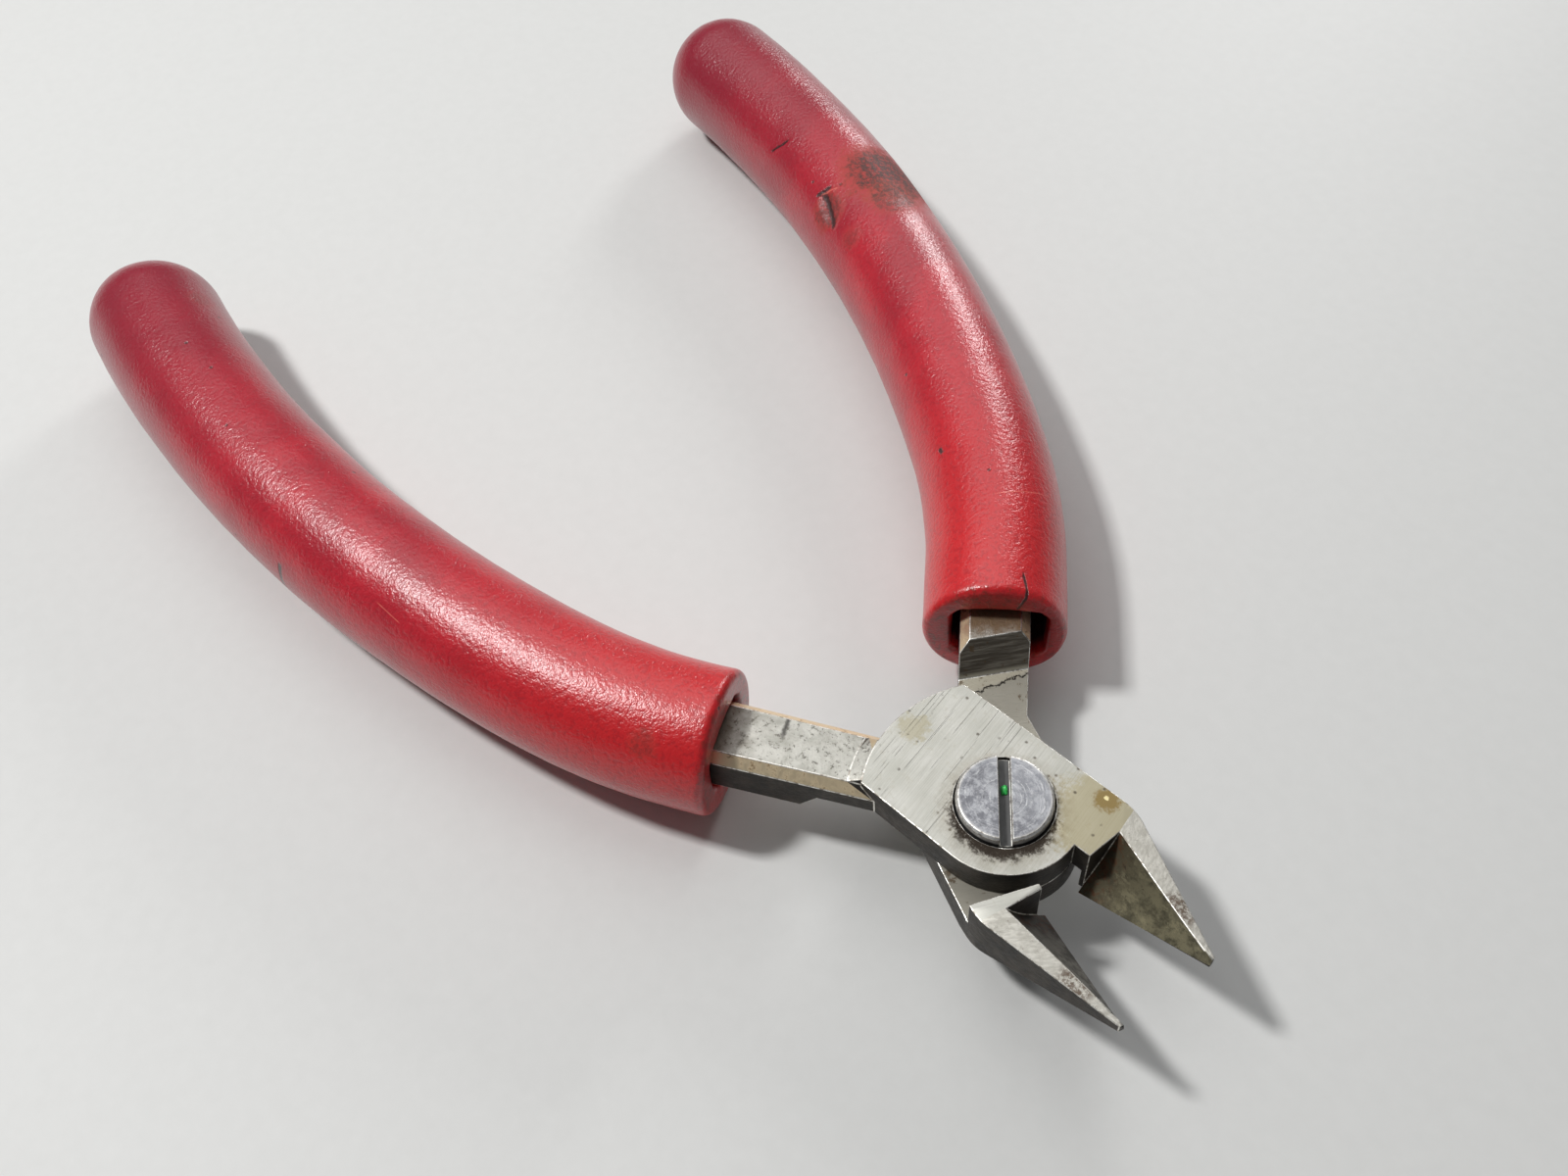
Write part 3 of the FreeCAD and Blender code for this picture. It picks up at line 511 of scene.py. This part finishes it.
# The grips -----------------------------------------------------------------------------------
# Each tang is dipped in red vinyl, which sets as a thick sleeve with a rounded mouth and a
# round end. It has shrunk back from the tang at the mouth, and years of use have left a fine
# leathery grain, dirt and a few cuts.
tang_x, tang_y, tang_angle = 8.0, 3.2, math.radians(27)
tang_run, neck_radius, neck_sweep, bow_radius = 13.0, 50.0, math.radians(15), 130.0
grip_sweep, tang_sweep = math.radians(25.75), math.radians(23.5)
mouth_radius, end_radius = 5.4, 6.0
bore_radius, bore_end_width, bore_end_height, tang_chamfer = 3.0, 7.2, 4.5, 0.7
mouth_rounding, rounding_steps, bore_rings, outer_rings, round_steps = 0.6, 6, 60, 230, 112
grip_middle = Vector((0, 0, lap_height))


def handle_at(along, side):
    """The point on a handle's middle line at a distance from the tang's root, and its heading."""
    straight = min(along, tang_run)
    neck = min(max(along - tang_run, 0) / neck_radius, neck_sweep)
    bow = max(along - tang_run - neck_radius * neck_sweep, 0) / bow_radius
    point = Vector((-tang_x, -tang_y, 0))
    heading = tang_angle
    point -= Vector((math.cos(heading), math.sin(heading), 0)) * straight
    for radius, turn in ((neck_radius, neck), (bow_radius, bow)):
        point += Vector((-math.sin(heading), math.cos(heading), 0)) * radius
        heading -= turn
        point -= Vector((-math.sin(heading), math.cos(heading), 0)) * radius
    point.y *= side
    return point, side * heading


def bore_reach(y, z, deep, mouth_width, mouth_height):
    """How far the chamfered bore reaches in the direction y, z, at a share of its depth."""
    half_width = (mouth_width + (bore_end_width - mouth_width) * deep) / 2
    half_height = (mouth_height + (bore_end_height - mouth_height) * deep) / 2
    level, upright = abs(y) / math.hypot(y, z), abs(z) / math.hypot(y, z)
    return min(half_width / max(level, 1e-6), half_height / max(upright, 1e-6),
               (half_width + half_height - tang_chamfer) / (level + upright))


def dipped_sleeve(name, side, mouth, bore_width, bore_height, bore_shift, dents):
    """Turn the sleeve's section round a straight axis, then bend it along the handle.

    The bore is turned round, then pushed out to the section of the tang. Each dent is (middle,
    direction, length, width, depth) in the half's closed place, in mm.
    """
    bow_start = tang_run + neck_radius * neck_sweep
    length = bow_start + bow_radius * grip_sweep + end_radius - mouth
    bore_depth = bow_start + bow_radius * tang_sweep - mouth + 0.1
    section = [(bore_depth, 0), (bore_depth, bore_radius), (0, bore_radius),
               (0, mouth_radius), (length, end_radius), (length, 0)]
    work = bmesh.new()
    points = [work.verts.new((x, y, 0)) for x, y in section]
    for pair in zip(points, points[1:]):
        work.edges.new(pair)
    bmesh.ops.bevel(work, geom=points[2:4], offset=mouth_rounding, offset_type="OFFSET",
                    segments=rounding_steps, profile=0.5, affect="VERTICES", material=-1)
    walls = sorted(work.edges, key=lambda edge: edge.calc_length())[-2:]
    bore, outside = sorted(walls, key=lambda edge: edge.verts[0].co.y)
    bmesh.ops.subdivide_edges(work, edges=[bore], cuts=bore_rings)
    bmesh.ops.subdivide_edges(work, edges=[outside], cuts=outer_rings)
    bmesh.ops.spin(work, geom=work.verts[:] + work.edges[:], cent=(0, 0, 0), axis=(1, 0, 0),
                   angle=math.tau, steps=round_steps, use_merge=True)
    bmesh.ops.remove_doubles(work, verts=work.verts, dist=1e-4)
    bmesh.ops.recalc_face_normals(work, faces=work.faces)
    along = work.verts.layers.float.new("along")
    inside = work.verts.layers.float.new("inside")
    for vert in work.verts:
        x, y, z = vert.co
        radius = math.hypot(y, z)
        if x > length - end_radius:
            turn = (x - length + end_radius) / end_radius * math.pi / 2
            x = length - end_radius + end_radius * math.sin(turn)
            y, z = y * math.cos(turn), z * math.cos(turn)
        in_bore = x < bore_depth + 0.01
        vert[inside] = float(in_bore and radius < bore_radius + 0.02)
        if in_bore and 0.01 < radius < mouth_radius:
            inward = min((mouth_radius - radius) / (mouth_radius - bore_radius), 1)
            reach = bore_reach(y, z, x / bore_depth, bore_width, bore_height)
            wider = 1 + inward * (reach - bore_radius) / radius
            y, z = y * wider + inward * bore_shift * max(1 - x / 20, 0), z * wider
        vert[along] = x
        centre, heading = handle_at(mouth + x, side)
        section_spot = Matrix.Rotation(heading, 3, "Z") @ Vector((0, -side * y, z))
        spot = centre + grip_middle + section_spot
        if not vert[inside] and radius > 0.01:
            wave = noise.noise(spot * 0.11 + Vector((0, 0, 7))) + 0.35 * noise.noise(spot * 0.4)
            push = 0.07 * wave - 0.04
            for middle, direction, long, wide, depth in dents:
                offset = spot - Vector(middle)
                run = Vector(direction).normalized()
                ahead = offset.dot(run)
                aside = (offset - run * ahead).length
                away = math.hypot(ahead / long, aside / wide) + 0.3 * noise.noise(spot * 1.6)
                push -= depth * max(1 - away ** 2, 0)
            spot += section_spot.normalized() * push * min(x / 1.5, (length - x) / 1.5, 1)
        vert.co = spot * MM
    bmesh.ops.remove_doubles(work, verts=work.verts, dist=0.002 * MM)
    bmesh.ops.rotate(work, verts=work.verts, cent=(0, 0, 0),
                     matrix=Matrix.Rotation(side * half_opening, 3, "Z"))
    mesh = bpy.data.meshes.new(name)
    bmesh.ops.recalc_face_normals(work, faces=work.faces)
    work.to_mesh(mesh)
    work.free()
    mesh.polygons.foreach_set("use_smooth", [True] * len(mesh.polygons))
    piece = bpy.data.objects.new(name, mesh)
    bpy.context.scene.collection.objects.link(piece)
    return piece


def streak(tree, place, side, middle, direction, length, width, ragged):
    """1 on a short line that lies on the sleeve, such as a cut or a scratch, and 0 elsewhere."""
    centre = min((handle_at(along, side)[0] for along in range(95)),
                 key=lambda point: (point + grip_middle - Vector(middle)).length) + grip_middle
    out = (Vector(middle) - centre).normalized()
    run = Vector(direction)
    run = (run - out * run.dot(out)).normalized()
    offset = node(tree, "VectorMath", {0: place, 1: middle}, operation="SUBTRACT").outputs[0]
    ahead, aside, deep = (size_of(tree, in_direction(tree, offset, axis))
                          for axis in (run, run.cross(out), out))
    aside = sums(tree, "ADD", aside, times(tree, sums(tree, "SUBTRACT", ragged, 0.5), 1.6 * width))
    ahead = sums(tree, "ADD", ahead, times(tree, sums(tree, "SUBTRACT", ragged, 0.5), width))
    return times(tree, step(tree, aside, width, 0.4 * width),
                 step(tree, ahead, 0.5 * length, 0.34 * length), step(tree, deep, 2.2, 1.8))


def dipped_vinyl(name, side, length, cuts, scratches, stains):
    """Red vinyl with a leathery grain, darker to the round end, brighter and soiled at the mouth,
    with painted shade inside the bore.
    """
    material, tree = new_material(name)
    here = place_on(tree, side)
    along = node(tree, "Attribute", attribute_name="along").outputs["Fac"]
    inside = node(tree, "Attribute", attribute_name="inside").outputs["Fac"]
    leather = grain(tree, here, 3.0, 2, 0.55)
    fine = grain(tree, here, 8.0, 2, 0.6)
    ragged = grain(tree, here, 1.5, 5, 0.75)
    cloud = grain(tree, here, 0.16, 4, 0.6)
    colour = over(tree, step(tree, cloud, 0.35, 0.65), (0.36, 0.003, 0.016), (0.47, 0.006, 0.02))
    colour = over(tree, times(tree, step(tree, along, 0.4 * length, 2.0), 0.8), colour,
                  (0.6, 0.011, 0.013))
    colour = over(tree, times(tree, step(tree, along, 0.45 * length, length), 0.85), colour,
                  (0.22, 0.003, 0.02))
    colour = over(tree, times(tree, step(tree, leather, 0.5, 0.36), 0.3), colour,
                  (0.22, 0.002, 0.01))
    pits = node(tree, "TexVoronoi", {"Vector": here, "Scale": 0.3, "Randomness": 1.0}).outputs[0]
    pitted = step(tree, pits, 0.06, 0.035)
    colour = over(tree, times(tree, pitted, 0.8), colour, (0.05, 0.01, 0.01))
    dug, dirt_and_bore = pitted, inside
    for middle, reach, strength in stains:
        halo = near(tree, here, middle, reach * 1.35, reach * 1.3, ragged)
        stain = times(tree, near(tree, here, middle, reach, reach * 1.6, ragged),
                      step(tree, grain(tree, here, 2.6, 5, 0.8), 0.36, 0.56))
        colour = over(tree, times(tree, halo, 0.55 * strength), colour, (0.4, 0.055, 0.025))
        colour = over(tree, times(tree, stain, strength), colour, (0.03, 0.016, 0.012))
        dirt_and_bore = sums(tree, "MAXIMUM", dirt_and_bore, times(tree, halo, strength))
    for middle, direction, long, wide in cuts:
        cut = streak(tree, here, side, middle, direction, long, wide, ragged)
        colour = over(tree, times(tree, cut, 0.93), colour, (0.03, 0.006, 0.006))
        dug = sums(tree, "MAXIMUM", dug, cut)
    for middle, direction, long, wide in scratches:
        scratch = streak(tree, here, side, middle, direction, long, wide, ragged)
        colour = over(tree, times(tree, scratch, 0.5), colour, (0.8, 0.2, 0.14))
    rim = step(tree, along, 0.9, 0.2)
    colour = over(tree, times(tree, rim, step(tree, ragged, 0.5, 0.62), 0.6), colour,
                  (0.14, 0.02, 0.012))
    # Painted shade: the inside of the bore, past the mouth, is coloured near black.
    colour = over(tree, times(tree, inside, step(tree, along, 0.3, 1.8)), colour,
                  (0.035, 0.006, 0.006))
    height = sums(tree, "ADD", leather, times(tree, fine, 0.45))
    height = sums(tree, "SUBTRACT", height, times(tree, dug, 0.8))
    roughness = sums(tree, "ADD", step(tree, fine, 0.3, 0.7, 0.28, 0.38), times(tree, dirt_and_bore, 0.35))
    gloss = times(tree, sums(tree, "SUBTRACT", 1.0, dirt_and_bore), 0.55)
    finish_material(tree, colour, roughness, 0.0, height, 0.055,
                    **{"Coat Weight": gloss, "Coat Roughness": 0.22})
    return material


upper_grip = dipped_sleeve("upper_grip_sleeve", UPPER, mouth=11.6, bore_width=5.9,
                           bore_height=4.9, bore_shift=0.0, dents=[])
upper_grip.data.materials.append(dipped_vinyl(
    "upper_grip_vinyl", UPPER, 80,
    cuts=[((-55.3, -21.9, 3.3), (0.12, 0.1, 1), 3.2, 0.3)],
    scratches=[((-43.1, -19.1, 6.7), (0.9, 0.3, -0.4), 3.0, 0.06),
               ((-42.5, -17.2, 8.0), (1, -0.5, 0), 2.2, 0.05)],
    stains=[((-20.7, -13.9, 6.4), 1.1, 0.28), ((-84.5, -9.5, 7.0), 1.2, 0.2)]))
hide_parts("upper_grip")
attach(upper_grip, "upper_side")

gouge = ((-60.8, 12.1, 6.5), (1, -0.17, -0.22))
gash = ((-71.6, 11.6, 6.5), (0.5, 0.8, 0.8))
lower_grip = dipped_sleeve("lower_grip_sleeve", LOWER, mouth=7.0, bore_width=7.0,
                           bore_height=5.4, bore_shift=0.35,
                           dents=[(*gouge, 2.5, 0.85, 0.5), (*gash, 1.4, 0.35, 0.25)])
lower_grip.data.materials.append(dipped_vinyl(
    "lower_grip_vinyl", LOWER, 84,
    cuts=[(*gouge, 4.8, 0.34), ((-62.9, 12.6, 6.9), (0.4, 1, 0.8), 2.0, 0.25),
          (*gash, 2.6, 0.16),
          ((-14.1, 8.6, 7.7), (1, -0.25, 0), 2.6, 0.14), ((-29.4, 8.9, 6.6), (1, 0, 0), 0.7, 0.25)],
    scratches=[((-62.4, 13.0, 7.2), (0.6, 1, 0.6), 2.0, 0.1),
               ((-22.0, 12.5, 8.3), (0.2, 1, -0.2), 5.0, 0.05)],
    stains=[((-61.8, 18.7, 7.7), 4.3, 0.9), ((-58.0, 17.6, 8.1), 2.4, 0.6),
            (gouge[0], 1.9, 0.6), ((-56.0, 12.2, 7.0), 1.2, 0.3)]))
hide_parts("lower_grip")
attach(lower_grip, "lower_side")

# The studio ----------------------------------------------------------------------------------
# A pale matt table top under a large soft light, with a small bright light over the upper
# grip's side and a weaker one low down beyond the lower grip.
floor_work = bmesh.new()
bmesh.ops.create_grid(floor_work, x_segments=1, y_segments=1, size=1.5)
bmesh.ops.translate(floor_work, verts=floor_work.verts, vec=(0, 0, cad_box[0][2] - 0.02 * MM))
floor_mesh = bpy.data.meshes.new("table_top")
floor_work.to_mesh(floor_mesh)
floor_work.free()
floor = bpy.data.objects.new("table_top", floor_mesh)
bpy.context.scene.collection.objects.link(floor)
table, tree = new_material("table_white")
paper = grain(tree, place_on(tree), 0.8, 4)
white = over(tree, paper, (0.6, 0.6, 0.585), (0.64, 0.64, 0.625))
finish_material(tree, white, 0.6, 0.0, paper, 0.01)
floor.data.materials.append(table)


def soft_light(name, spot, aim, size, power, tint=(1, 1, 1)):
    """A square soft light that faces a point."""
    lamp = bpy.data.lights.new(name, "AREA")
    lamp.size = size
    lamp.energy = power
    lamp.color = tint
    holder = bpy.data.objects.new(name, lamp)
    holder.location = spot
    holder.rotation_euler = (Vector(aim) - Vector(spot)).to_track_quat("-Z", "Y").to_euler()
    bpy.context.scene.collection.objects.link(holder)


middle = Vector((-0.035, 0, 0.003))
soft_light("ceiling", middle + Vector((-0.25, 0.11, 0.47)), middle, 0.45, 0.85)
soft_light("key", middle + Vector((-0.18, -0.2, 0.43)), middle, 0.06, 2.0)
soft_light("back", middle + Vector((-0.25, 0.39, 0.19)), middle, 0.1, 0.7)
world = bpy.data.worlds.new("studio")
world.use_nodes = True
world.node_tree.nodes["Background"].inputs["Color"].default_value = (0.9, 0.92, 0.95, 1)
world.node_tree.nodes["Background"].inputs["Strength"].default_value = 0.15
bpy.context.scene.world = world
bpy.context.scene.view_settings.view_transform = "Standard"

# The camera ----------------------------------------------------------------------------------
# It stands close over the jaws and looks back along the handles, a little rolled.
lens = bpy.data.cameras.new("camera")
lens.lens = 33.75
lens.sensor_width = 36
lens.clip_start = 0.002
camera = bpy.data.objects.new("camera", lens)
right, up = Vector((0.5494, 0.8334, -0.0592)), Vector((-0.6443, 0.4677, 0.6051))
behind = right.cross(up)
camera.matrix_world = Matrix.Translation(Vector((35.0, -34.55, 92.79)) * MM) @ Matrix(
    (right, up, behind)).transposed().to_4x4()
bpy.context.scene.collection.objects.link(camera)
bpy.context.scene.camera = camera
